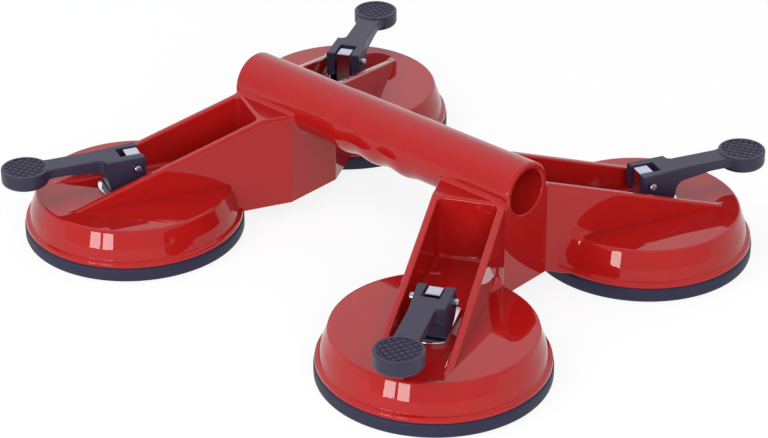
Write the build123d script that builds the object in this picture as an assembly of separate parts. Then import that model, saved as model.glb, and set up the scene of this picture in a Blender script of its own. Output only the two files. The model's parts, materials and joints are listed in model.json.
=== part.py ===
"""Four-cup lever suction lifter, millimetres, +X along the hand grip, +Z up from the sheet it stands on."""
import math
import os

from build123d import *

# Layout of the four cups, seen from above
cup_x = 109.0                 # cup centre from the middle, along the grip
cup_y = 84.8                  # cup centre from the middle, across the grip

# Rubber pad, drawn with the stud raised
pad_radius = 60.0
pad_rim_height = 7.9
pad_rim_chamfer = 0.8
pad_seal_inner = 46.0         # inner radius of the flat ring that seals on the sheet
pad_membrane = 5.0
pad_shoulder = 2.0            # height of the step that centres the pad inside the bell
pad_boss_wall = 4.0           # rubber round the base disc
pad_boss_floor = 4.0          # rubber under the base disc

# Bell
bell_flange_radius = 59.4
bell_flange_height = 3.2
bell_bead = 1.6               # rounding of the flange's upper edge
bell_foot_radius = 57.3       # wall radius just above the flange
bell_waist_radius = 55.9
bell_waist_drop = 9.5         # waist below the flat top
bell_waist_round = 6.0        # rounding of the waist
bell_top_radius = 52.6
bell_height = 18.9            # flange underside to flat top
bell_wall = 4.0
bell_crease = 1.5             # rounding of the edge of the flat top

# Hand grip
grip_radius = 16.1
grip_bore = 12.5
grip_length = 195.0
grip_height = 63.3            # axis above the sheet
grip_rim = 1.2                # chamfer round each end
bore_rim = 0.8                # rounding of the mouth of the bore
finger_count = 3              # number of ridges between the fingers
finger_pitch = 22.0
finger_ridge = 1.4

# Yoke: block under each end of the grip, with two channel arms
block_length = 43.6
block_half_width = 17.6
block_bottom = 8.3
block_corner = 2.0            # rounding of the block's upright edges
ledge_drop = 1.3              # flat ledge below the grip axis
end_wall_back = 1.6           # channel's end wall behind the block's outer corner
arm_reach = 39.0              # channel walls run out on the bell this far beyond the cup axis
arm_end_half_width = 19.9     # outside of the channel walls there
arm_wall = 4.0
channel_corner = 3.0          # rounding in the upright corners of the channel
channel_foot = 2.5            # rounding between the channel's walls and its floor
casting_edge = 1.0            # rounding of the upper edges of block and walls
slope_margin = 0.5            # from the rounded rim of the channel's end back to where the tops level out

# Lift stud, pivot pin and wear plate
stud_width = 8.0
stud_head = 5.3               # pin to the stud's top
stud_disc_radius = 17.0
stud_disc_thickness = 3.0
stud_round = 0.8
pin_radius = 2.0
pin_length = 25.0
pin_chamfer = 0.5
plate_half_width = 10.0
plate_reach = 19.4            # rounded end of the wear plate from the stud axis
plate_thickness = 2.0
plate_edge = 0.6              # rounding of the plate's upper edge

# Cam lever, sizes from the pivot pin. Left and right are seen looking outwards along the arm
lever_swing = 90.0            # degrees from pressed down to upright
lift_stroke = 8.0             # travel of the stud over that swing
heel_back = 4.8               # pin to the heel's back face, which faces down when upright
heel_top = 5.6                # level top of heel and arm
heel_length = 17.0            # pin to the shoulder on the left
heel_taper = 22.0             # pin to the end of the taper on the right
heel_foot = 15.0              # pin to the outer end of the heel's flat foot
heel_foot_round = 1.5
heel_half_width = 9.9
shoulder_round = 3.0
flank_lean = 1.8              # the heel's outer flank leans outwards by this much
arm_offset = 1.0              # arm and paddle lie this far to the right of the pin's middle
lever_arm_half_width = 6.4
lever_arm_underside = 2.4     # below the pin, where the arm leaves the heel
lever_arch = 5.0              # radius of the arch from the heel to the arm
arm_crest = 37.0              # pin to where the arm's underside turns level
arm_crest_height = 0.5        # underside above the pin from there outwards
arm_crest_round = 16.0
slot_reach = 7.8              # outer end of the stud slot
paddle_distance = 59.0
paddle_radius = 12.75
paddle_top = 6.5              # above the pin
paddle_thickness = 9.0
paddle_neck = 8.0             # radius of the hollow between arm and paddle
neck_overlap = 0.2            # the hollow runs this far into the paddle's side
paddle_belly = 2.6            # rounding of the paddle's underside
paddle_edge = 0.7             # rounding of the paddle's upper edge
paddle_tilt = 0.8             # degrees, outer edge up
paddle_rim = 1.8              # plain rim round the recess for the chequered grip
paddle_recess = 0.5           # depth of that recess
lever_edge = 0.7              # rounding of the lever's upper edges

# Clearances
stud_guide_gap = 0.5          # stud in the bell and in the wear plate
slot_gap = 0.9                # stud in the lever's slot, each side
pin_gap = 0.05                # pin in the lever, radial
cam_gap = 0.25                # heel over the wear plate
bond_gap = 0.3                # base disc in the pad, and pad shoulder in the bell

# Heights and radii that follow from the sizes above
bell_base = pad_rim_height
bell_top = bell_base + bell_height
bell_waist = bell_top - bell_waist_drop
bell_mouth = bell_foot_radius - bell_wall
plate_top = bell_top + plate_thickness
heel_drop = heel_back + lift_stroke
pin_height = plate_top + cam_gap + heel_drop
cam_radius = lift_stroke / math.radians(lever_swing)
disc_base = lift_stroke + pad_boss_floor
disc_top = disc_base + stud_disc_thickness
ledge_height = grip_height - ledge_drop
half_grip = grip_length / 2
block_inner = half_grip - block_length
clear_height = grip_height + 2 * grip_radius   # above everything
clear_reach = 2 * bell_top_radius              # beyond the bell on every side

# Arm frame: origin on the cup axis, local X outwards along the arm, local Y to the left, local Z up.
# An arm points from midway between the centres of the block's corner rounds to the cup.
arm_run_x = cup_x - (half_grip + block_inner) / 2
arm_run_y = cup_y - (block_half_width - block_corner)
arm_run = math.hypot(arm_run_x, arm_run_y)
outward_x = arm_run_x / arm_run
outward_y = arm_run_y / arm_run
arm_frame = Location((cup_x, cup_y, 0), (0, 0, math.degrees(math.atan2(outward_y, outward_x))))
ground_up = (Align.CENTER, Align.CENTER, Align.MIN)


def to_arm(x, y):
    """Arm coordinates of a point in the plan of the whole lifter."""
    dx = x - cup_x
    dy = y - cup_y
    return (dx * outward_x + dy * outward_y, dy * outward_x - dx * outward_y)


def side_solid(outline, half_width):
    """Solid with a side outline in local X and Z, reaching the half width to both sides."""
    return extrude(Plane.XZ * make_face(outline), half_width, both=True)


def plan_solid(sketch, low, high):
    """Upright solid on a plan sketch."""
    return extrude(Pos(0, 0, low) * sketch, high - low)


# Plan of one arm: its wall lines run from the block's corners to where the walls run out on the bell
outer_corner = to_arm(half_grip, block_half_width)
inner_corner = to_arm(block_inner, block_half_width)
end_wall = outer_corner[0] - end_wall_back
slope_start = end_wall - casting_edge - slope_margin


def wall_point(side, inset, distance):
    """Point on the outside of a channel wall, moved inwards, at a distance outwards from the cup axis."""
    corner = outer_corner if side < 0 else inner_corner
    run = Vector(arm_reach - corner[0], side * arm_end_half_width - corner[1]).normalized()
    start = Vector(*corner) + Vector(side * run.Y, -side * run.X) * inset
    return start + run * ((distance - start.X) / run.X)


def between_walls(inset, near, far):
    """Plan of the space between the two wall lines, from one distance along the arm to another."""
    points = [wall_point(-1, inset, near), wall_point(-1, inset, far)]
    points += [wall_point(1, inset, far), wall_point(1, inset, near)]
    return make_face(Polyline(*points, close=True))


def channel():
    """Open space of the channel above its floor, with rounded corners and a rounded foot."""
    plan = between_walls(arm_wall, end_wall, clear_reach)
    plan = fillet(plan.vertices().sort_by(Axis.X)[:2], channel_corner)
    space = plan_solid(plan, bell_top, clear_height)
    foot = space.faces().sort_by(Axis.Z)[0].edges().sort_by(Axis.X)[:-1]
    return fillet(foot, channel_foot)


def above_walls():
    """Everything above the sloping tops of the channel walls."""
    slope = (ledge_height - bell_top) / (arm_reach - slope_start)
    outline = Polyline(
        (slope_start, ledge_height),
        (clear_reach, ledge_height - slope * (clear_reach - slope_start)),
        (clear_reach, clear_height),
        (slope_start, clear_height),
        close=True,
    )
    return side_solid(outline, clear_reach)


def rounded_tops(solid):
    """Solid with the edges of its high upper faces rounded, apart from the bends between two such faces."""
    tops = [face for face in solid.faces() if face.center().Z > bell_top and face.normal_at().Z > 0.5]
    rims = [edge for face in tops for edge in face.edges()]
    single = [edge for edge in rims if sum(edge.is_same(other) for other in rims) == 1]
    return fillet(single, casting_edge)


def bell_outside():
    """Outside of the bell as one turned solid: flange with a rounded bead, two-slope wall, flat top."""
    bead = (bell_flange_radius, bell_base + bell_flange_height)
    waist = (bell_waist_radius, bell_waist)
    crease = (bell_top_radius, bell_top)
    outline = Polyline(
        (0, bell_base),
        (bell_flange_radius, bell_base),
        bead,
        (bell_foot_radius, bell_base + bell_flange_height),
        waist,
        crease,
        (0, bell_top),
        close=True,
    )
    face = make_face(outline)
    for corner, radius in ((bead, bell_bead), (waist, bell_waist_round), (crease, bell_crease)):
        face = fillet(face.vertices().sort_by_distance(corner)[0], radius)
    return revolve(Plane.XZ * face, Axis.Z)


def bell_inside():
    """Hollow of the bell: a straight mouth for the pad's step, then one wall under the outside."""
    outline = Polyline(
        (0, bell_base),
        (bell_mouth, bell_base),
        (bell_mouth, bell_base + pad_shoulder + bond_gap),
        (bell_waist_radius - bell_wall, bell_waist),
        (bell_top_radius - bell_wall, bell_top - bell_wall),
        (0, bell_top - bell_wall),
        close=True,
    )
    turned = revolve(Plane.XZ * make_face(outline), Axis.Z)
    return fillet(turned.faces().sort_by(Axis.Z)[-1].edges(), bell_wall / 2)


def stud_hole(low, high):
    """Square hole that guides the lift stud."""
    size = stud_width + 2 * stud_guide_gap
    return Pos(0, 0, low) * Box(size, size, high - low, align=ground_up)


def bell_column(low):
    """Space over the bell from a height upwards, where the channel walls belong to the bell."""
    return Pos(0, 0, low) * Cylinder(bell_top_radius - bell_crease, clear_height, align=ground_up)


def bell():
    """Bell with the tapering ends of the two channel walls, which start inside its flat top."""
    root = bell_top - 3 * bell_wall / 4
    walls = plan_solid(between_walls(0, -bell_top_radius, arm_reach + 2 * casting_edge), root, ledge_height)
    walls = rounded_tops(walls - above_walls() - channel()) & bell_column(root)
    return bell_outside() + walls - bell_inside() - stud_hole(0, bell_top)


def grip_tube(radius, length):
    """Cylinder along the grip's axis."""
    return Pos(0, 0, grip_height) * Rot(0, 90, 0) * Cylinder(radius, length)


def grip_outside():
    """Straight round bar with chamfered ends, whose underside swells into ridges between the fingers."""
    reach = finger_count * finger_pitch / 2
    steps = 4 * finger_count
    sections = []
    for step in range(steps + 1):
        x = reach * (2 * step / steps - 1)
        drop = finger_ridge * (1 - math.cos(2 * math.pi * finger_count * step / steps)) / 2
        place = Plane((x, 0, grip_height - drop / 2), x_dir=(0, 1, 0), z_dir=(1, 0, 0))
        sections.append(place * Circle(grip_radius + drop / 2))
    end_length = half_grip - reach
    end = Pos(reach + end_length / 2, 0, 0) * grip_tube(grip_radius, end_length)
    end = chamfer(end.faces().sort_by(Axis.X)[-1].edges(), grip_rim)
    return end + loft(sections) + mirror(end, about=Plane.YZ)


def both_sides(shape):
    """A shape of one arm, moved to its place, with its mirror image on the other arm of the yoke."""
    placed = arm_frame * shape
    return placed + mirror(placed, about=Plane.XZ)


def yoke_plan():
    """Outline of the block and its two arms as far as the cup axes, with the block's corners rounded."""
    far_outer = (arm_frame * Pos(wall_point(-1, 0, 0))).position
    far_inner = (arm_frame * Pos(wall_point(1, 0, 0))).position
    points = [
        (half_grip, block_half_width),
        (far_outer.X, far_outer.Y),
        (far_inner.X, far_inner.Y),
        (block_inner, block_half_width),
    ]
    points += [(x, -y) for x, y in reversed(points)]
    plan = make_face(Polyline(*points, close=True))
    block_corners = [v for v in plan.vertices() if abs(v.Y) < block_half_width + block_corner]
    return fillet(block_corners, block_corner)


def yoke_hollow():
    """Open underside of the block and the arms, one wall inside their outside and behind the end walls."""
    inner = offset(yoke_plan(), -arm_wall, kind=Kind.INTERSECTION)
    room = plan_solid(inner, 0, grip_height - grip_radius - arm_wall)
    ahead = Pos(end_wall - arm_wall, 0, 0) * Box(
        2 * clear_reach, 2 * clear_reach, 2 * clear_height, align=(Align.MIN, Align.CENTER, Align.CENTER))
    under_arm = plan_solid(between_walls(arm_wall, end_wall - arm_wall, 0), 0, bell_top - bell_wall)
    return room - both_sides(ahead) + both_sides(under_arm)


def front_yoke():
    """Block under the front end of the grip with its two channel arms, hollowed out from below."""
    solid = plan_solid(yoke_plan(), block_bottom, ledge_height)
    solid = rounded_tops(solid - both_sides(above_walls() + channel()))
    solid -= both_sides(bell_outside() + bell_column(bell_top))
    return solid - yoke_hollow() - grip_outside()


def hand_grip():
    """Hollow grip with a rounded mouth at each end of its bore."""
    grip = grip_outside() - grip_tube(grip_bore, grip_length)
    mouths = grip.edges().filter_by(GeomType.CIRCLE).group_by(Edge.radius)[0]
    return fillet(mouths, bore_rim)


def suction_pad():
    """Rubber pad with its middle drawn up: sealing ring, membrane, and boss for the base disc."""
    pocket = stud_disc_radius + bond_gap
    boss = pocket + pad_boss_wall
    shoulder = bell_mouth - bond_gap
    shoulder_top = pad_rim_height + pad_shoulder
    rim = pad_radius - pad_rim_chamfer
    dome = Spline((stud_disc_radius, lift_stroke), (pad_seal_inner, 0), tangents=[(1, 0), (1, 0)])
    ring = Polyline(
        (pad_seal_inner, 0),
        (rim, 0),
        (pad_radius, pad_rim_chamfer),
        (pad_radius, pad_rim_height - pad_rim_chamfer),
        (rim, pad_rim_height),
        (shoulder, pad_rim_height),
        (shoulder, shoulder_top),
        (pad_seal_inner, shoulder_top),
    )
    boss_foot = (boss, lift_stroke + pad_membrane)
    back = Spline((pad_seal_inner, shoulder_top), boss_foot, tangents=[(-1, 0), (-1, 0)])
    middle = Polyline(
        boss_foot,
        (boss, disc_top),
        (pocket, disc_top),
        (pocket, disc_base),
        (0, disc_base),
        (0, lift_stroke),
        (stud_disc_radius, lift_stroke),
    )
    return revolve(Plane.XZ * make_face(dome + ring + back + middle), Axis.Z)


def pin_rod(radius):
    """Plain rod on the pivot axis, as long as the pin."""
    return Pos(0, 0, pin_height) * Rot(90, 0, 0) * Cylinder(radius, pin_length)


def lift_stud():
    """Square steel tongue on a round base disc, bored for the pivot pin."""
    height = pin_height + stud_head - disc_base
    tongue = Pos(0, 0, disc_base) * Box(stud_width, stud_width, height, align=ground_up)
    tongue = fillet(tongue.faces().sort_by(Axis.Z)[-1].edges(), stud_round)
    disc = Pos(0, 0, disc_base) * Cylinder(stud_disc_radius, stud_disc_thickness, align=ground_up)
    return tongue + disc - pin_rod(pin_radius)


def pivot_pin():
    """Pivot pin with chamfered ends."""
    rod = pin_rod(pin_radius)
    return chamfer(rod.edges().filter_by(GeomType.CIRCLE), pin_chamfer)


def wear_plate():
    """Flat plate under the heel: a disc with two sides cut off, pierced for the stud."""
    plan = Circle(plate_reach) & Rectangle(2 * plate_reach, 2 * plate_half_width)
    plate = plan_solid(plan, bell_top, plate_top)
    plate = fillet(plate.faces().sort_by(Axis.Z)[-1].edges(), plate_edge)
    return plate - stud_hole(bell_top, plate_top)


def cam_point(turn):
    """Point of the heel's cam that bears on the plate when the lever is this far down from upright."""
    height = heel_back + cam_radius * turn
    normal = turn - math.pi
    return (
        height * math.cos(normal) - cam_radius * math.sin(normal),
        height * math.sin(normal) + cam_radius * math.cos(normal),
    )


def lever_side():
    """Side outline of the lever about its pin. The heel is an involute, which lifts evenly as it turns."""
    swing = math.radians(lever_swing)
    points = [cam_point(swing * step / 6) for step in range(7)]
    cam = Spline(*points, tangents=[(0, -1), (1, 0)])
    foot = (heel_foot, -heel_drop)
    arch = (heel_foot + flank_lean, -lever_arm_underside)
    crest = (arm_crest, arm_crest_height)
    rest = Polyline(
        points[-1],
        foot,
        arch,
        crest,
        (paddle_distance, arm_crest_height),
        (paddle_distance, heel_top),
        (-heel_back, heel_top),
        points[0],
    )
    face = make_face(cam + rest)
    for corner, radius in ((foot, heel_foot_round), (arch, lever_arch), (crest, arm_crest_round)):
        face = fillet(face.vertices().sort_by_distance(corner)[0], radius)
    return face


def lever_plan():
    """Plan of fork and arm: a shoulder on the left, a taper on the right, and a neck into the paddle."""
    left = lever_arm_half_width - arm_offset
    right = -lever_arm_half_width - arm_offset
    inner = paddle_radius - neck_overlap
    fork = make_face(Polyline(
        (-heel_back, -heel_half_width),
        (heel_taper, right),
        (paddle_distance, right),
        (paddle_distance, left),
        (heel_length, left),
        (heel_length, heel_half_width),
        (-heel_back, heel_half_width),
        close=True,
    ))
    plan = fork + Pos(paddle_distance, -arm_offset) * Circle(inner)
    neck = paddle_distance - math.sqrt(inner ** 2 - lever_arm_half_width ** 2)
    plan = fillet(plan.vertices().sort_by_distance((heel_length, left))[0], shoulder_round)
    for side in (left, right):
        plan = fillet(plan.vertices().sort_by_distance((neck, side))[0], paddle_neck)
    return plan


def cam_lever():
    """Forked cam lever with a round thumb paddle, recessed for its chequered grip."""
    arm = extrude(Plane.XZ * lever_side(), 2 * paddle_radius, both=True)
    arm &= plan_solid(lever_plan(), -2 * heel_drop, 2 * heel_drop)
    arm = fillet(arm.faces().sort_by(Axis.Z)[-1].edges(), lever_edge)
    paddle_place = Pos(paddle_distance, -arm_offset, paddle_top) * Rot(0, -paddle_tilt, 0)
    paddle = Cylinder(paddle_radius, paddle_thickness, align=(Align.CENTER, Align.CENTER, Align.MAX))
    paddle = fillet(paddle.faces().sort_by(Axis.Z)[0].edges(), paddle_belly)
    paddle = fillet(paddle.faces().sort_by(Axis.Z)[-1].edges(), paddle_edge)
    recess = Cylinder(paddle_radius - paddle_rim, 2 * paddle_recess)
    lever = arm + paddle_place * paddle - paddle_place * recess
    slot_width = stud_width + 2 * slot_gap
    slot = Pos(slot_reach, 0, 0) * Box(
        slot_reach + 2 * heel_back, slot_width, 4 * heel_drop, align=(Align.MAX, Align.CENTER, Align.CENTER))
    return Pos(0, 0, pin_height) * (lever - slot) - pin_rod(pin_radius + pin_gap)


corners = {
    "front_left": (1, 1),
    "front_right": (1, -1),
    "rear_left": (-1, 1),
    "rear_right": (-1, -1),
}
loose_pieces = {
    "suction_pad": suction_pad(),
    "lift_stud": lift_stud(),
    "pivot_pin": pivot_pin(),
    "wear_plate": wear_plate(),
    "cam_lever": cam_lever(),
}


def mirrored(shape, x_side, y_side):
    """A shape of the front left quarter, mirrored into another quarter."""
    if x_side < 0:
        shape = mirror(shape, about=Plane.YZ)
    if y_side < 0:
        shape = mirror(shape, about=Plane.XZ)
    return shape


def turned(shape, x_side, y_side):
    """A loose piece made in the arm frame, turned to another quarter's arm. All four are the same piece."""
    heading = math.degrees(math.atan2(y_side * outward_y, x_side * outward_x))
    return Location((x_side * cup_x, y_side * cup_y, 0), (0, 0, heading)) * shape


os.makedirs("parts", exist_ok=True)
yoke = front_yoke()
quarter_bell = arm_frame * bell()
export_step(hand_grip(), "parts/hand_grip.step")
export_step(yoke, "parts/front_yoke.step")
export_step(mirrored(yoke, -1, 1), "parts/rear_yoke.step")
for corner, sides in corners.items():
    export_step(mirrored(quarter_bell, *sides), f"parts/bell_{corner}.step")
    for piece, shape in loose_pieces.items():
        export_step(turned(shape, *sides), f"parts/{piece}_{corner}.step")
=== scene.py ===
# %% [markdown]
# # Suction lifter
# Four rubber cups on one red casting, each locked by a black cam lever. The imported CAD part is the
# fixed frame: its levers, studs, pins and plates are shown as they are, and this script adds the
# rounded one-piece casting, the soft pads, the chequered thumb grips and every finish.

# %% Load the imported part
import json
import math

import bpy
import numpy as np
import openvdb
from mathutils import Matrix, Vector


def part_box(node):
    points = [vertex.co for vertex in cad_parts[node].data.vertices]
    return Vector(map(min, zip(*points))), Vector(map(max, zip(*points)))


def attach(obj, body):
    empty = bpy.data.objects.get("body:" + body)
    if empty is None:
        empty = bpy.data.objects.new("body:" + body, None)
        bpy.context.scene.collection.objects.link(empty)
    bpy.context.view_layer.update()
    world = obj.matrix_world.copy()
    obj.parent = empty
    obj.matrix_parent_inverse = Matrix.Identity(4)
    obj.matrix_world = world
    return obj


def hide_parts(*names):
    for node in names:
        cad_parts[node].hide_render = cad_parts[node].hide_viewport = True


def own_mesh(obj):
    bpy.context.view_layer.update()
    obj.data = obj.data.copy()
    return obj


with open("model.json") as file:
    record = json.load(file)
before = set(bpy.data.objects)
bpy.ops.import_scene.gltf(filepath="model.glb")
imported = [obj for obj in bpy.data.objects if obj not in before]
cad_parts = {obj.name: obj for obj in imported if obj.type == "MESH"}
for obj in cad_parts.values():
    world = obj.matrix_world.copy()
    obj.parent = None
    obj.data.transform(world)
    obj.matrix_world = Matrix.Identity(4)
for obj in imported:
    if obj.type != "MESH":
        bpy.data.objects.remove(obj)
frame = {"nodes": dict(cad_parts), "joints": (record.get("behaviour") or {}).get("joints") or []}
nodes = frame["nodes"]
joints = {joint["name"]: joint for joint in frame["joints"]}
corners = ("front_left", "front_right", "rear_left", "rear_right")
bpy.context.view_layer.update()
mm = 0.001

# %% [markdown]
# The photograph is taken with a long lens from above the front right corner. Azimuth, elevation,
# distance and focal length were found by matching the rims of the four cups, which are circles of
# known size on the floor.

# %% Camera
camera_azimuth = math.radians(42.21)
camera_elevation = math.radians(29.27)
camera_distance = 1.31137
camera_target = Vector((0.02228, -0.02599, 0.030))
lens_mm = 116.16
sensor_mm = 36.0

towards_camera = Vector((
    math.sin(camera_azimuth) * math.cos(camera_elevation),
    -math.cos(camera_azimuth) * math.cos(camera_elevation),
    math.sin(camera_elevation),
))
camera = bpy.data.objects.new("camera", bpy.data.cameras.new("camera"))
camera.data.lens = lens_mm
camera.data.sensor_width = sensor_mm
camera.data.clip_end = 20.0
camera.location = camera_target + camera_distance * towards_camera
camera.rotation_euler = towards_camera.to_track_quat("Z", "Y").to_euler()
bpy.context.scene.collection.objects.link(camera)
bpy.context.scene.camera = camera
bpy.context.scene.view_settings.view_transform = "Standard"
print("camera at", [round(value, 4) for value in camera.location])

# %% [markdown]
# The lifter stands on white paper. Lighting the paper until it is white would burn out the lacquer,
# so the paper glows by itself towards the camera and in mirrors. Under the glow it is matt paper that
# takes the lifter's shadow, and it throws back less light than it shows, as a smaller sheet would.

# %% White paper
def shader(tree, kind, **sockets):
    """New shader node with values set on its named sockets."""
    node = tree.nodes.new(kind)
    for name, value in sockets.items():
        node.inputs[name.replace("_", " ")].default_value = value
    return node


def calculated(tree, operation, first, second):
    """Output of a maths node on two values, each a number or another node's output."""
    node = tree.nodes.new("ShaderNodeMath")
    node.operation = operation
    for socket, value in zip(node.inputs, (first, second)):
        if isinstance(value, (int, float)):
            socket.default_value = value
        else:
            tree.links.new(value, socket)
    return node.outputs[0]


def seen_directly(tree):
    """1 for camera, glossy and transmission rays, so that mirrors show the same white as the camera."""
    path = tree.nodes.new("ShaderNodeLightPath").outputs
    direct = calculated(tree, "MAXIMUM", path["Is Camera Ray"], path["Is Glossy Ray"])
    return calculated(tree, "MAXIMUM", direct, path["Is Transmission Ray"])


paper_size = 12.0
paper_drop = 0.2 * mm
paper_glow = 0.85
paper_white = 0.95
paper_bounce = 0.60

paper = bpy.data.materials.new("white paper")
paper.use_nodes = True
tree = paper.node_tree
tree.nodes.clear()
matt = tree.nodes.new("ShaderNodeBsdfDiffuse")
tone = shader(tree, "ShaderNodeMapRange", To_Min=paper_bounce, To_Max=paper_white)
glow = shader(tree, "ShaderNodeEmission", Color=(1, 1, 1, 1), Strength=1.0)
blend = tree.nodes.new("ShaderNodeMixShader")
output = tree.nodes.new("ShaderNodeOutputMaterial")
seen = seen_directly(tree)
tree.links.new(seen, tone.inputs["Value"])
tree.links.new(tone.outputs["Result"], matt.inputs["Color"])
tree.links.new(calculated(tree, "MULTIPLY", seen, paper_glow), blend.inputs[0])
tree.links.new(matt.outputs[0], blend.inputs[1])
tree.links.new(glow.outputs[0], blend.inputs[2])
tree.links.new(blend.outputs[0], output.inputs["Surface"])

bpy.ops.mesh.primitive_plane_add(size=paper_size, location=(0, 0, -paper_drop))
floor = bpy.context.object
floor.name = "floor"
floor.data.materials.append(paper)
print("paper of", paper_size, "m")

# %% [markdown]
# A white sky lights everything, and gloss mirrors it. Towards the camera it is greyer, as a room is
# behind the photographer, so that the near faces keep a deep colour.

# %% Sky
sky_tint = (0.92, 0.93, 1.0)
sky_light = 0.65                   # strength of the sky as light
sky_shown = 1.0                    # and as gloss mirrors it
far_sky, near_sky = 1.25, 0.75     # factors behind the lifter and behind the camera
grey_from, grey_to = -0.4, 0.15    # how far a direction points towards the camera

sky = bpy.data.worlds.new("white sky")
sky.use_nodes = True
bpy.context.scene.world = sky
tree = sky.node_tree
background = tree.nodes["Background"]
background.inputs["Color"].default_value = (*sky_tint, 1)
level = shader(tree, "ShaderNodeMapRange", To_Min=sky_light, To_Max=sky_shown)
tree.links.new(seen_directly(tree), level.inputs["Value"])
direction = tree.nodes.new("ShaderNodeTexCoord").outputs["Generated"]
nearness = tree.nodes.new("ShaderNodeVectorMath")
nearness.operation = "DOT_PRODUCT"
nearness.inputs[1].default_value = (towards_camera.x, towards_camera.y, 0)
tree.links.new(direction, nearness.inputs[0])
greyer = shader(
    tree, "ShaderNodeMapRange", From_Min=grey_from, From_Max=grey_to, To_Min=far_sky, To_Max=near_sky)
tree.links.new(nearness.outputs["Value"], greyer.inputs["Value"])
strength = calculated(tree, "MULTIPLY", level.outputs["Result"], greyer.outputs["Result"])
tree.links.new(strength, background.inputs["Strength"])
print("sky of", len(tree.nodes), "nodes")

# %% [markdown]
# A soft box on the left gives the forms a light and a dark side, and a second one beside the camera
# lifts the near faces. Gloss doesn't mirror these two, because the photograph shows no such patches.
# It does mirror a bright window of two panes far off, which draws the upright glints on the bells.

# %% Lamps
def area_light(name, direction, distance, width, height, watts, mirrored=True):
    """Soft box that faces the lifter from a direction; gloss may mirror it or not."""
    light = bpy.data.lights.new(name, "AREA")
    light.shape = "RECTANGLE"
    light.size = width
    light.size_y = height
    light.energy = watts
    lamp = bpy.data.objects.new(name, light)
    lamp.visible_glossy = mirrored
    away = direction.normalized()
    lamp.location = camera_target + distance * away
    lamp.rotation_euler = away.to_track_quat("Z", "Y").to_euler()
    bpy.context.scene.collection.objects.link(lamp)


left = Vector((-math.cos(camera_azimuth), -math.sin(camera_azimuth), 0))
up = Vector((0, 0, 1))
key_side = left + 0.6 * towards_camera + 1.2 * up
fill_side = towards_camera - 0.2 * left
area_light("key", key_side, distance=2.0, width=1.2, height=1.2, watts=15.5, mirrored=False)
area_light("fill", fill_side, distance=2.2, width=1.4, height=1.4, watts=29.0, mirrored=False)
window = Vector((0.14, -0.99, 0.07))
pane_shift = 0.12 * window.cross(up)
for pane_side in (window - pane_shift, window + pane_shift):
    area_light("window pane", pane_side, distance=2.2, width=0.42, height=0.40, watts=6.0)

# %% [markdown]
# The casting is one piece of metal with every edge rounded, whose arms flow into the bells. Bevels on
# a boolean of many solids would break at the places where several edges meet. It is worked out as a
# distance field instead: each simple form gives its distance at a point, a union adds a hollow fillet
# of any radius, and a cut gets a rounded rim.

# %% Distances: joining and rounding
def joined(first, second, radius):
    """Union of two distances with a hollow fillet where they meet."""
    inner = np.hypot(np.maximum(radius - first, 0), np.maximum(radius - second, 0))
    return np.maximum(radius, np.minimum(first, second)) - inner


def shared(first, second, radius):
    """Intersection of two distances with its edge rounded."""
    outer = np.hypot(np.maximum(radius + first, 0), np.maximum(radius + second, 0))
    return np.minimum(-radius, np.maximum(first, second)) + outer


def ease(value, low, high):
    """Smooth step from 0 at low to 1 at high."""
    share = np.clip((value - low) / (high - low), 0, 1)
    return share * share * (3 - 2 * share)


def outline_distance(x, y, points):
    """Signed distance to a closed outline in the plane, negative inside."""
    nearest = np.full(np.shape(x), np.inf)
    within = np.zeros(np.shape(x), bool)
    for start, end in zip(points, np.roll(points, -1, axis=0)):
        run = end - start
        along = ((x - start[0]) * run[0] + (y - start[1]) * run[1]) / (run @ run)
        along = np.clip(along, 0, 1)
        gap = (x - start[0] - along * run[0]) ** 2 + (y - start[1] - along * run[1]) ** 2
        nearest = np.minimum(nearest, gap)
        if run[1] != 0:
            crosses = (start[1] <= y) != (end[1] <= y)
            within ^= crosses & (x < start[0] + (y - start[1]) * run[0] / run[1])
    return np.where(within, -1, 1) * np.sqrt(nearest)


test_square = np.array([(-1.0, -1.0), (1.0, -1.0), (1.0, 1.0), (-1.0, 1.0)])
print("middle of a square of 2:", outline_distance(np.zeros(1), np.zeros(1), test_square))

# %% [markdown]
# The casting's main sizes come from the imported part: the cup's place and the arm's direction from
# the lever hinge, heights and lengths from the nodes' boxes. The rest are the sizes of a pressure die
# casting, with about 4 mm of wall.

# %% Sizes of the casting, in millimetres
hinge = joints["lever_swing_front_left"]
cup_x, cup_y = (value / mm for value in hinge["pos_m"][:2])
outward = np.array((-hinge["axis"][1], hinge["axis"][0]))
leftward = np.array((-outward[1], outward[0]))

bell_low, bell_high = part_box("bell_front_left")
bell_base = bell_low.z / mm
bell_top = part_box("wear_plate_front_left")[0].z / mm
flange_radius = (bell_high.x - bell_low.x) / 2 / mm
flange_height = 3.2
bell_foot_radius = 57.3
bell_waist_radius = 55.9
bell_waist_drop = 9.5
bell_top_radius = 52.6
wall = 4.0

grip_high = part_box("hand_grip")[1]
half_grip = grip_high.x / mm
grip_radius = 16.1
grip_height = grip_high.z / mm - grip_radius
bore_radius = 12.5
finger_count = 3
finger_pitch = 22.0
finger_ridge = 1.4

yoke_low, yoke_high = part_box("front_yoke")
block_bottom = yoke_low.z / mm
ledge_height = yoke_high.z / mm
block_inner = half_grip - 43.6
block_half_width = 17.6
end_wall_back = 1.6
slope_lead = 1.5
arm_reach = 39.0
arm_end_half_width = 19.9
stud_hole = 4.5
print("cup at", cup_x, cup_y, "bell", bell_base, "to", bell_top, "block", block_bottom, "to", ledge_height)

# %% [markdown]
# The lifter is the same in its four quarters, so one arm is described, in coordinates that run
# outwards from its cup. The two channel walls lie on straight lines from the corners of the block to
# where they run out on the bell.

# %% One arm seen from above
def to_arm(x, y):
    """Distance outwards along the arm from the cup axis, and distance to the left of it."""
    along = (x - cup_x) * outward[0] + (y - cup_y) * outward[1]
    across = (x - cup_x) * leftward[0] + (y - cup_y) * leftward[1]
    return along, across


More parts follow.
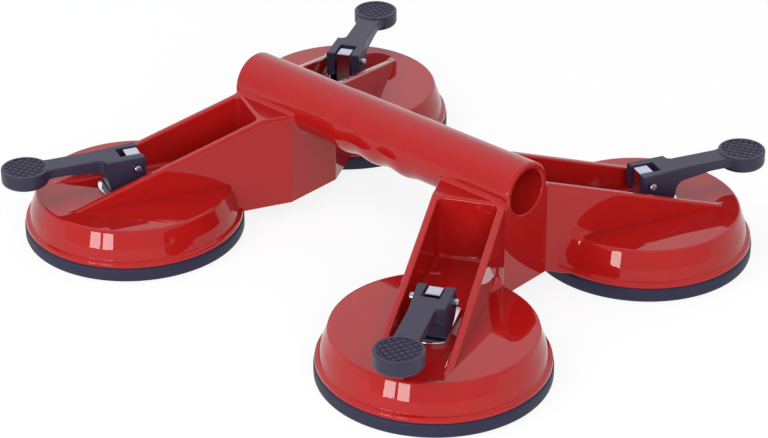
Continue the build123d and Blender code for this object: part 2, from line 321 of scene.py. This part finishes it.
def wall_line(corner_x, side):
    """Start and direction, in plan, of the line outside a channel wall, and its outward normal."""
    start = np.array((corner_x, block_half_width))
    end = np.array((cup_x, cup_y)) + arm_reach * outward + side * arm_end_half_width * leftward
    run = (end - start) / np.hypot(*(end - start))
    return start, run, side * np.array((-run[1], run[0]))


def outside_walls(x, y):
    """Distance in plan outside the space between the two wall lines."""
    distances = []
    for start, run, normal in (outer_line, inner_line):
        distances.append((x - start[0]) * normal[0] + (y - start[1]) * normal[1])
    return np.maximum(*distances)


def yoke_outline(inset):
    """Corners of block and arm moved inwards; the block runs on across the middle, where it is mirrored."""
    beyond_middle = -60.0
    beyond_reach = 20.0
    sides = []
    for (start, run, normal), side in ((outer_line, -1), (inner_line, 1)):
        face_x = start[0] + side * inset
        near = start - inset * normal
        corner = near + run * (face_x - near[0]) / run[0]
        reach = (cup_y + arm_reach * outward[1] - near[1]) / run[1] + beyond_reach
        sides.append([(face_x, beyond_middle), corner, near + reach * run])
    return np.array(sides[0] + sides[1][::-1])


def yoke_plan(x, y, inset, rounding):
    """Distance to the plan of block and arm with rounded upright edges."""
    return outline_distance(x, y, yoke_outline(inset + rounding)) - rounding


outer_line = wall_line(half_grip, -1)
inner_line = wall_line(block_inner, 1)
end_wall = to_arm(half_grip, block_half_width)[0] - end_wall_back
slope_start = end_wall - slope_lead
wall_slope = (ledge_height - bell_top) / (arm_reach - slope_start)
print("channel ends at", round(end_wall, 2), "its walls fall by", round(wall_slope, 3))

# %% [markdown]
# The bell is turned: a flange with a rounded bead, a wall of two slopes and a flat top. A turned form
# depends on radius and height only, so its distance is worked out once in a fine table and looked up.

# %% Turned outlines of the bell
def with_arcs(points, radii, steps=6):
    """Outline whose corners are replaced by arcs of their own radius."""
    smooth = []
    for before, corner, after, radius in zip(np.roll(points, 1, 0), points, np.roll(points, -1, 0), radii):
        if radius == 0:
            smooth.append(corner)
            continue
        first = (before - corner) / np.hypot(*(before - corner))
        second = (after - corner) / np.hypot(*(after - corner))
        half = math.acos(first @ second) / 2
        middle = (first + second) / np.hypot(*(first + second))
        centre = corner + middle * radius / math.sin(half)
        swing = math.pi / 2 - half
        for turn in np.linspace(-swing, swing, steps + 1):
            side = first if turn < 0 else second
            across = side - (side @ middle) * middle
            across /= np.hypot(*across)
            smooth.append(centre + radius * (across * math.sin(abs(turn)) - middle * math.cos(turn)))
    return np.array(smooth)


class Turned:
    """Distance to a turned form, looked up by radius and height."""

    step = 0.2
    low, high, widest = -5.0, 90.0, 240.0

    def __init__(self, outline):
        radii = np.arange(0, self.widest, self.step)
        heights = np.arange(self.low, self.high, self.step)
        self.table = outline_distance(*np.meshgrid(radii, heights, indexing="ij"), outline)

    def __call__(self, radius, height):
        across = np.clip(radius / self.step, 0, self.table.shape[0] - 1.001)
        upwards = np.clip((height - self.low) / self.step, 0, self.table.shape[1] - 1.001)
        i, k = across.astype(int), upwards.astype(int)
        s, t = across - i, upwards - k
        lower = (1 - s) * self.table[i, k] + s * self.table[i + 1, k]
        upper = (1 - s) * self.table[i, k + 1] + s * self.table[i + 1, k + 1]
        return (1 - t) * lower + t * upper


pad_step = 2.3
flange_top = bell_base + flange_height
waist = bell_top - bell_waist_drop
mouth = bell_foot_radius - wall
past_axis = -20.0
bell_corners = np.array([
    (past_axis, bell_base), (flange_radius, bell_base), (flange_radius, flange_top),
    (bell_foot_radius, flange_top), (bell_waist_radius, waist),
    (bell_top_radius, bell_top), (past_axis, bell_top)])
bell_rounding = (0, 0.5, 1.6, 0.5, 6.0, 1.6, 0)
hollow_corners = np.array([
    (past_axis, past_axis), (mouth, past_axis), (mouth, bell_base + pad_step),
    (bell_waist_radius - wall, waist), (bell_top_radius - wall, bell_top - wall),
    (past_axis, bell_top - wall)])
hollow_rounding = (0, 0, 0.5, 4.0, 2.0, 0)
bell_outline = with_arcs(bell_corners, bell_rounding)
hollow_outline = with_arcs(hollow_corners, hollow_rounding)
bell_form = Turned(bell_outline)
bell_hollow = Turned(hollow_outline)
print("bell outline of", len(bell_outline), "points, hollow of", len(hollow_outline))

# %% [markdown]
# Now the forms are put together in the order in which they lie on the real casting: block and arm,
# the channel cut into the arm, the bell, the grip, and last everything that is hollow.

# %% The whole casting
edge = 1.0                                      # outside edges
block_edge = 1.8                                # upright edges of the block
channel_corner = 3.0
channel_foot = 2.5
foot_share = 0.55                               # a low wall's foot, as a share of its height
foot_fade = (2.2 * wall, 2.8 * wall)            # the foot ends this far inside the channel's outline
through_wall = (-0.8 * wall, -0.2 * wall)       # from the inside of a wall to its outside
outer_foot = 8.0                                # where an arm's outer wall meets the side of its bell
outer_foot_start = -0.97 * bell_top_radius
outer_foot_end = -0.7 * bell_top_radius
channel_sink = 1.5 * wall
sink_start = bell_top_radius - 2.1
sink_end = bell_top_radius - 4.6
grip_fillet = 2.2
grip_fillet_share = 0.6                         # of the way to the grip's end, where the fillet runs out
bore_rim = 0.8
no_fillet = 0.01


def arm_distance(x, y, z, along, outside):
    """Block and arm under a level ledge and sloping wall tops, with the channel cut in."""
    slope_top = ledge_height - wall_slope * (along - slope_start)
    top = np.maximum(z - ledge_height, (z - slope_top) / math.hypot(1, wall_slope))
    arm = shared(yoke_plan(x, y, 0, block_edge), top, edge)
    arm = shared(arm, block_bottom - z, edge / 2)
    arm = np.maximum(arm, along - arm_reach - 2 * edge)
    # over the bell the channel's floor sinks out of the way of the bell's own top
    radius = np.hypot(x - cup_x, y - cup_y)
    on_bell = 1 - ease(radius, sink_end, sink_start)
    channel = shared(outside + wall, end_wall - along, channel_corner)
    channel = shared(channel, bell_top - channel_sink * on_bell - z, channel_foot)
    return shared(arm, -channel, edge)


def foot_radius(along, across, outside):
    """Fillet between arm and bell: it shrinks with the wall in the channel, and along the outer wall."""
    rise = ledge_height - bell_top - wall_slope * (along - slope_start)
    at_wall = 1 - ease(-outside, *foot_fade)
    inside = np.clip(foot_share * rise, edge, channel_foot) * at_wall
    at_side = 1 - ease(along, outer_foot_start, outer_foot_end)
    beside = outer_foot * ease(-across, 0, wall) * at_side
    share_outside = ease(outside, *through_wall)
    return inside * (1 - share_outside) + beside * share_outside + no_fillet


def grip_distance(x, y, z):
    """Round bar with ridges between the fingers on its underside."""
    phase = 2 * math.pi * (x / finger_pitch + finger_count / 2)
    ridge = finger_ridge * (1 - np.cos(phase)) / 2
    ridge = np.where(x < finger_count * finger_pitch / 2, ridge, 0)
    bar = np.hypot(y, z - grip_height + ridge / 2) - grip_radius - ridge / 2
    return shared(bar, x - half_grip, edge)


def hollow_distance(x, y, z, along, outside):
    """Room under the block and under the arm, open below."""
    room = shared(yoke_plan(x, y, wall, edge), z - (grip_height - grip_radius - wall), 2 * edge)
    room = np.maximum(room, along - (end_wall - wall))
    under_arm = np.maximum(np.maximum(outside + wall, end_wall - wall - along), along)
    return np.minimum(room, np.maximum(under_arm, z - (bell_top - wall)))


def casting_distance(x, y, z):
    """Distance in millimetres from points to the casting's skin, negative in the metal."""
    x, y = np.abs(x), np.abs(y)
    along, across = to_arm(x, y)
    radius = np.hypot(along, across)
    outside = outside_walls(x, y)
    foot = foot_radius(along, across, outside)
    body = joined(arm_distance(x, y, z, along, outside), bell_form(radius, z), foot)
    fillet = np.clip(grip_fillet_share * (half_grip - x), no_fillet, grip_fillet)
    body = joined(body, grip_distance(x, y, z), fillet)
    body = shared(body, bore_radius - np.hypot(y, z - grip_height), bore_rim)
    body = shared(body, -hollow_distance(x, y, z, along, outside), edge / 2)
    body = np.maximum(body, -bell_hollow(radius, z))
    hole = np.maximum(np.abs(along), np.abs(across)) - stud_hole
    return np.maximum(body, -np.maximum(hole, z - bell_top - wall))


middle_of_bore = np.array([0.0]), np.array([0.0]), np.array([grip_height])
print("middle of the bore lies", casting_distance(*middle_of_bore).round(2), "mm from the metal")

# %% [markdown]
# The field is sampled on a grid over one quarter, mirrored, and turned into a closed skin of small
# quads. Their points are moved onto the exact surface, the flat places are thinned out, and the
# normals are read from the field, so that the gloss runs smoothly over it.

# %% Skin of the casting
def sampled(distance, spacing, size_x, size_y, low, high):
    """Field on a grid over the whole, worked out for one quarter, with the place of its first sample."""
    xs = spacing * (np.arange(round(size_x / spacing)) + 0.5)
    ys = spacing * (np.arange(round(size_y / spacing)) + 0.5)
    zs = np.arange(low, high, spacing)
    quarter = distance(*np.meshgrid(xs, ys, zs, indexing="ij"))
    half = np.concatenate((quarter[::-1], quarter))
    whole = np.concatenate((half[:, ::-1], half), axis=1)
    return np.ascontiguousarray(whole, np.float32), np.array((-xs[-1], -ys[-1], low))


def slope_of(distance, points, step=0.02):
    """Direction and steepness in which the field grows at the points."""
    slope = np.empty_like(points)
    for axis in range(3):
        shift = np.zeros(3)
        shift[axis] = step
        slope[:, axis] = distance(*(points + shift).T) - distance(*(points - shift).T)
    return slope / (2 * step)


def settle(distance, points, reach, rounds=4, least_steepness=0.3):
    """Moves points onto the surface of the field, each by no more than the reach."""
    start = points.copy()
    for _ in range(rounds):
        slope = slope_of(distance, points)
        steepness = np.maximum((slope ** 2).sum(axis=1), least_steepness)
        move = -(distance(*points.T) / steepness)[:, None] * slope
        points = start + np.clip(points + move - start, -reach, reach)
    return points


def corner_normals(distance, mesh, points):
    """Normals of the field at the faces' corners; a corner across a crease takes its face's normal."""
    counts = np.empty(len(mesh.polygons), int)
    centres = np.empty(3 * len(mesh.polygons))
    corner_points = np.empty(len(mesh.loops), int)
    mesh.polygons.foreach_get("loop_total", counts)
    mesh.polygons.foreach_get("center", centres)
    mesh.loops.foreach_get("vertex_index", corner_points)
    normals = []
    for places in (points, centres.reshape(-1, 3) / mm):
        slope = slope_of(distance, places)
        normals.append(slope / np.maximum(np.linalg.norm(slope, axis=1, keepdims=True), 1e-6))
    own = normals[0][corner_points]
    of_face = np.repeat(normals[1], counts, axis=0)
    across_crease = (own * of_face).sum(axis=1) < math.cos(crease_angle)
    return np.where(across_crease[:, None], of_face, own)


def linked(name, mesh):
    """New object with this mesh, in the scene."""
    thing = bpy.data.objects.new(name, mesh)
    bpy.context.scene.collection.objects.link(thing)
    return thing


def finished_mesh(thing):
    """Plain mesh of an object with its modifiers applied; the object itself is removed."""
    bpy.context.view_layer.update()
    evaluated = thing.evaluated_get(bpy.context.evaluated_depsgraph_get())
    mesh = bpy.data.meshes.new_from_object(evaluated)
    bpy.data.objects.remove(thing)
    return mesh


def skin(name, distance, field, origin, spacing, triangles):
    """Closed mesh on the surface of the field, thinned to a number of triangles where it is flat."""
    band = 3 * spacing
    grid = openvdb.FloatGrid(band)
    grid.copyFromArray(np.clip(field, -band, band))
    points, _, quads = grid.convertToPolygons(isovalue=0.0)
    points = settle(distance, origin + spacing * np.array(points, float), spacing / 2)
    dense = bpy.data.meshes.new(name)
    dense.from_pydata((points * mm).tolist(), [], [tuple(face) for face in quads])
    carrier = linked(name, dense)
    carrier.modifiers.new("thin out", "DECIMATE").ratio = min(1.0, triangles / (2 * len(quads)))
    mesh = finished_mesh(carrier)
    flat = np.empty(3 * len(mesh.vertices))
    mesh.vertices.foreach_get("co", flat)
    points = settle(distance, flat.reshape(-1, 3) / mm, spacing / 4)
    mesh.vertices.foreach_set("co", (points * mm).ravel())
    mesh.update()
    mesh.normals_split_custom_set(corner_normals(distance, mesh, points).tolist())
    return mesh


crease_angle = math.radians(50)
spacing = 0.8
margin = 3.0
casting_triangles = 180000
size_x, size_y = cup_x + flange_radius + margin, cup_y + flange_radius + margin
lowest, highest = bell_base - margin, grip_height + grip_radius + margin
field, origin = sampled(casting_distance, spacing, size_x, size_y, lowest, highest)
casting = linked(
    "casting", skin("casting", casting_distance, field, origin, spacing, casting_triangles))
casting_nodes = ["hand_grip", "front_yoke", "rear_yoke"] + ["bell_" + corner for corner in corners]
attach(casting, "frame")
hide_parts(*casting_nodes)
print("casting", len(casting.data.vertices), "points", len(casting.data.polygons), "faces")

# %% [markdown]
# Each pad is moulded rubber in one piece. Here it is two meshes, both fixed to the frame: the sealing
# ring under the bell, and the membrane with its boss, which on the real pad flattens when the stud
# goes down. Both are turned outlines with softly rounded lips.

# %% Pads
pad_low, pad_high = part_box("suction_pad_front_left")
pad_radius = (pad_high.x - pad_low.x) / 2 / mm
seal_inner = 46.0
ring_step = 2.0
membrane_thickness = 5.0
disc_radius = 17.0
disc_thickness = 3.0
disc_gap = 0.3
boss_wall = 4.0
lift = joints["stud_lift_front_left"]["range_m"][1] / mm
disc_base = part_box("lift_stud_front_left")[0].z / mm
pin_prick = 0.02
turn_steps = 128


def turned_piece(name, outline, centre):
    """Closed piece made by turning an outline of (radius, height) about an upright axis."""
    turns = np.linspace(0, 2 * math.pi, turn_steps, endpoint=False)
    points = [
        (centre[0] + radius * math.cos(turn) * mm, centre[1] + radius * math.sin(turn) * mm, height * mm)
        for turn in turns for radius, height in outline]
    count = len(outline)
    faces = []
    for ring in range(turn_steps):
        here, there = ring * count, (ring + 1) % turn_steps * count
        for k in range(count):
            following = (k + 1) % count
            faces.append((here + k, there + k, there + following, here + following))
    mesh = bpy.data.meshes.new(name)
    mesh.from_pydata(points, [], faces)
    mesh.shade_smooth()
    return linked(name, mesh)


def membrane_outline():
    """Membrane and boss: hollow below, with a pocket above for the stud's disc."""
    pocket = disc_radius + disc_gap
    boss = pocket + boss_wall
    disc_top = disc_base + disc_thickness
    ring_top = bell_base + ring_step
    sweep = np.linspace(0, 1, 13)
    rise = ease(sweep, 0, 1)
    below = np.column_stack((disc_radius + (seal_inner - disc_radius) * sweep, lift * (1 - rise)))
    above = np.column_stack((
        seal_inner + (boss - seal_inner) * sweep,
        ring_top + (lift + membrane_thickness - ring_top) * rise))
    middle = np.array([
        (boss, disc_top), (pocket, disc_top), (pocket, disc_base), (pin_prick, disc_base), (pin_prick, lift)])
    return np.concatenate((below, above, middle))


shoulder = mouth - disc_gap
ring_corners = np.array([
    (seal_inner, 0.0), (pad_radius, 0.0), (pad_radius, bell_base), (shoulder, bell_base),
    (shoulder, bell_base + ring_step), (seal_inner, bell_base + ring_step)])
ring_rounding = (0.4, 1.6, 1.6, 0.3, 0.8, 0.4)
ring_outline = with_arcs(ring_corners, ring_rounding)
pads = []
for corner in corners:
    centre = joints["lever_swing_" + corner]["pos_m"]
    ring = turned_piece("seal_" + corner, ring_outline, centre)
    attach(ring, "frame")
    membrane = turned_piece("membrane_" + corner, membrane_outline(), centre)
    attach(membrane, "frame")
    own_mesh(membrane)
    for piece in (ring, membrane):
        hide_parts("suction_pad_" + corner)
        pads.append(piece)
print("pads", len(pads), "meshes, ring of", len(ring_outline), "points")

# %% [markdown]
# No real surface is perfectly even: lacquer has orange peel, nylon shows its spark-eroded mould, and
# rubber and plate have a grain. They differ only in scale and depth, so one node group makes them
# all. It also softens sharp edges with a small bevel, and puts out a broad cloud that varies colour
# and gloss.

# %% Fine unevenness
def effect(name, outputs, **inputs):
    """Shader node group with number inputs and the given outputs; returns it with its end nodes."""
    group = bpy.data.node_groups.new(name, "ShaderNodeTree")
    for label, value in inputs.items():
        socket = group.interface.new_socket(label, in_out="INPUT", socket_type="NodeSocketFloat")
        socket.default_value = value
    for label, kind in outputs.items():
        group.interface.new_socket(label, in_out="OUTPUT", socket_type=kind)
    return group, group.nodes.new("NodeGroupInput"), group.nodes.new("NodeGroupOutput")


fine_unevenness, given, result = effect(
    "fine unevenness", {"Normal": "NodeSocketVector", "Cloud": "NodeSocketFloat"},
    Scale=900.0, Depth=0.02, Edge=0.0004)
link = fine_unevenness.links.new
place = fine_unevenness.nodes.new("ShaderNodeTexCoord")
grain = shader(fine_unevenness, "ShaderNodeTexNoise", Detail=3.0, Roughness=0.55)
link(place.outputs["Object"], grain.inputs["Vector"])
link(given.outputs["Scale"], grain.inputs["Scale"])
soft_edges = fine_unevenness.nodes.new("ShaderNodeBevel")
soft_edges.samples = 6
link(given.outputs["Edge"], soft_edges.inputs["Radius"])
bump = shader(fine_unevenness, "ShaderNodeBump", Distance=0.001)
link(given.outputs["Depth"], bump.inputs["Strength"])
link(grain.outputs["Fac"], bump.inputs["Height"])
link(soft_edges.outputs["Normal"], bump.inputs["Normal"])
cloud = shader(fine_unevenness, "ShaderNodeTexNoise", Scale=35.0, Detail=4.0)
link(place.outputs["Object"], cloud.inputs["Vector"])
link(bump.outputs["Normal"], result.inputs["Normal"])
link(cloud.outputs["Fac"], result.inputs["Cloud"])
print("group", fine_unevenness.name, "with", len(fine_unevenness.nodes), "nodes")

# %% [markdown]
# The casting wears a thick clear gloss over red. The levers are black nylon, smooth but not bright;
# the pads are matt rubber with a blue cast; stud and pin are bright zinc plate, and the wear plate is
# polished by the heel that slides on it.

# %% Finishes
coat_roughness = 0.02
coat_ior = 1.42


def finish(name, dark, light, gloss, grain, metallic=0.0, coat=0.0, specular=0.5):
    """Material that drifts between two colours and two roughnesses, with its own grain."""
    material = bpy.data.materials.new(name)
    material.use_nodes = True
    tree = material.node_tree
    surface = tree.nodes["Principled BSDF"]
    surface.inputs["Metallic"].default_value = metallic
    surface.inputs["Coat Weight"].default_value = coat
    surface.inputs["Coat Roughness"].default_value = coat_roughness
    surface.inputs["Coat IOR"].default_value = coat_ior
    surface.inputs["Specular IOR Level"].default_value = specular
    uneven = tree.nodes.new("ShaderNodeGroup")
    uneven.node_tree = fine_unevenness
    for label, value in grain.items():
        uneven.inputs[label].default_value = value
    colour = tree.nodes.new("ShaderNodeMix")
    colour.data_type = "RGBA"
    colour.inputs["A"].default_value = (*dark, 1)
    colour.inputs["B"].default_value = (*light, 1)
    rough = shader(tree, "ShaderNodeMapRange", To_Min=gloss[0], To_Max=gloss[1])
    link = tree.links.new
    link(uneven.outputs["Cloud"], colour.inputs["Factor"])
    link(uneven.outputs["Cloud"], rough.inputs["Value"])
    link(colour.outputs["Result"], surface.inputs["Base Color"])
    link(rough.outputs["Result"], surface.inputs["Roughness"])
    link(uneven.outputs["Normal"], surface.inputs["Normal"])
    return material


red_lacquer = finish(
    "gloss red lacquer", (0.345, 0.007, 0.006), (0.390, 0.009, 0.008), gloss=(0.35, 0.45),
    grain={"Scale": 260.0, "Depth": 0.006, "Edge": 0.0}, coat=1.0, specular=0.0)
black_nylon = finish(
    "black nylon", (0.020, 0.017, 0.038), (0.028, 0.024, 0.050), gloss=(0.34, 0.44),
    grain={"Scale": 1800.0, "Depth": 0.06, "Edge": 0.0005}, specular=0.35)
matt_rubber = finish(
    "matt rubber", (0.012, 0.013, 0.034), (0.018, 0.019, 0.046), gloss=(0.50, 0.64),
    grain={"Scale": 1200.0, "Depth": 0.10, "Edge": 0.0003}, specular=0.35)
zinc_plate = finish(
    "bright zinc plate", (0.44, 0.45, 0.53), (0.52, 0.53, 0.61), gloss=(0.18, 0.32),
    grain={"Scale": 1500.0, "Depth": 0.05, "Edge": 0.0003}, metallic=1.0)
polished_steel = finish(
    "polished steel", (0.66, 0.66, 0.69), (0.76, 0.76, 0.78), gloss=(0.06, 0.16),
    grain={"Scale": 1500.0, "Depth": 0.02, "Edge": 0.0003}, metallic=1.0)


def dress(thing, material):
    """Gives a piece one material."""
    thing.data.materials.clear()
    thing.data.materials.append(material)


dress(casting, red_lacquer)
for piece in pads:
    dress(piece, matt_rubber)
for corner in corners:
    dress(nodes["cam_lever_" + corner], black_nylon)
    dress(nodes["lift_stud_" + corner], zinc_plate)
    dress(nodes["pivot_pin_" + corner], zinc_plate)
    dress(nodes["wear_plate_" + corner], polished_steel)
print("finishes", [material.name for material in bpy.data.materials if material.use_nodes])

# %% [markdown]
# Each thumb paddle has a chequered grip: rows of small blunt pyramids, cut off by the round recess.
# They repeat, so Geometry Nodes sets one pyramid on a square grid and draws the outermost ones in to
# the rim, instead of placing each by hand.

# %% Chequered grip
def node_output(tree, kind, output=0, operation=None, **sockets):
    """Output of a new node whose named sockets get a value or another node's output."""
    node = tree.nodes.new(kind)
    if operation:
        node.operation = operation
    for name, value in sockets.items():
        key = int(name[-1]) if name.startswith("input_") else name.replace("_", " ")
        if isinstance(value, bpy.types.NodeSocket):
            tree.links.new(value, node.inputs[key])
        else:
            node.inputs[key].default_value = value
    return node.outputs[output]


def chequer_tree(rows, blunt, material):
    """Geometry tree that sets blunt pyramids on a square grid inside a circle."""
    tree = bpy.data.node_groups.new("chequered grip", "GeometryNodeTree")
    tree.interface.new_socket("Geometry", in_out="OUTPUT", socket_type="NodeSocketGeometry")
    for label in ("pitch", "height", "radius"):
        tree.interface.new_socket(label, in_out="INPUT", socket_type="NodeSocketFloat")
    given = tree.nodes.new("NodeGroupInput").outputs
    result = tree.nodes.new("NodeGroupOutput")
    span = calculated(tree, "MULTIPLY", given["pitch"], rows - 1)
    grid = node_output(
        tree, "GeometryNodeMeshGrid", Vertices_X=rows, Vertices_Y=rows, Size_X=span, Size_Y=span)
    pyramid = node_output(
        tree, "GeometryNodeMeshCone", Vertices=4, Depth=given["height"],
        Radius_Top=calculated(tree, "MULTIPLY", given["pitch"], blunt),
        Radius_Bottom=calculated(tree, "MULTIPLY", given["pitch"], math.sqrt(0.5)))
    place = node_output(tree, "GeometryNodeInputPosition")
    flat = node_output(tree, "ShaderNodeVectorMath", operation="MULTIPLY", input_0=place, input_1=(1, 1, 0))
    reach = node_output(tree, "ShaderNodeVectorMath", "Value", operation="LENGTH", input_0=flat)
    near = calculated(tree, "LESS_THAN", reach, given["radius"])
    rows_on = node_output(
        tree, "GeometryNodeInstanceOnPoints", Points=grid, Selection=near, Instance=pyramid,
        Rotation=(0, 0, math.pi / 4))
    real = node_output(tree, "GeometryNodeRealizeInstances", Geometry=rows_on)
    ratio = calculated(tree, "DIVIDE", given["radius"], calculated(tree, "MAXIMUM", reach, 1e-5))
    inwards = calculated(tree, "MINIMUM", ratio, 1.0)
    factor = node_output(tree, "ShaderNodeCombineXYZ", X=inwards, Y=inwards, Z=1.0)
    drawn = node_output(tree, "ShaderNodeVectorMath", operation="MULTIPLY", input_0=place, input_1=factor)
    moved = node_output(tree, "GeometryNodeSetPosition", Geometry=real, Position=drawn)
    coated = node_output(tree, "GeometryNodeSetMaterial", Geometry=moved, Material=material)
    tree.links.new(coated, result.inputs["Geometry"])
    return tree


def grown(name, tree, **values):
    """Mesh that a geometry tree makes with these values."""
    carrier = linked(name, bpy.data.meshes.new(name))
    modifier = carrier.modifiers.new("grow", "NODES")
    modifier.node_group = tree
    for item in tree.interface.items_tree:
        if item.in_out == "INPUT":
            modifier[item.identifier] = values[item.name]
    return finished_mesh(carrier)


chequer = chequer_tree(rows=9, blunt=0.16, material=black_nylon)
print("chequered grip from", len(chequer.nodes), "nodes")

# %% [markdown]
# The four grips lie in the recesses of the paddles, turned so that their rows run slantwise to the
# lever, and each rides with its own lever.

# %% Chequered grips on the paddles
chequer_pitch = 3.3 * mm
chequer_height = 0.5 * mm
chequer_radius = 10.85 * mm
paddle_distance = 59.0 * mm
paddle_offset = 1.0 * mm
paddle_top = 6.5 * mm
paddle_tilt = math.radians(0.8)
row_turn = math.radians(45)

for corner in corners:
    swing = joints["lever_swing_" + corner]
    out = Vector((-swing["axis"][1], swing["axis"][0], 0)).normalized()
    side = up.cross(out)
    place = Vector(swing["pos_m"]) + paddle_distance * out - paddle_offset * side + paddle_top * up
    along_lever = Matrix((out, side, up)).transposed().to_4x4()
    in_recess = Matrix.Rotation(-paddle_tilt, 4, "Y") @ Matrix.Translation((0, 0, -chequer_height))
    mesh = grown(
        "chequer_" + corner, chequer, pitch=chequer_pitch, height=chequer_height, radius=chequer_radius)
    mesh.transform(
        Matrix.Translation(place) @ along_lever @ in_recess @ Matrix.Rotation(row_turn, 4, "Z"))
    grip = linked("chequer_" + corner, mesh)
    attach(grip, "lever_" + corner)
    print(grip.name, len(mesh.vertices), "points")
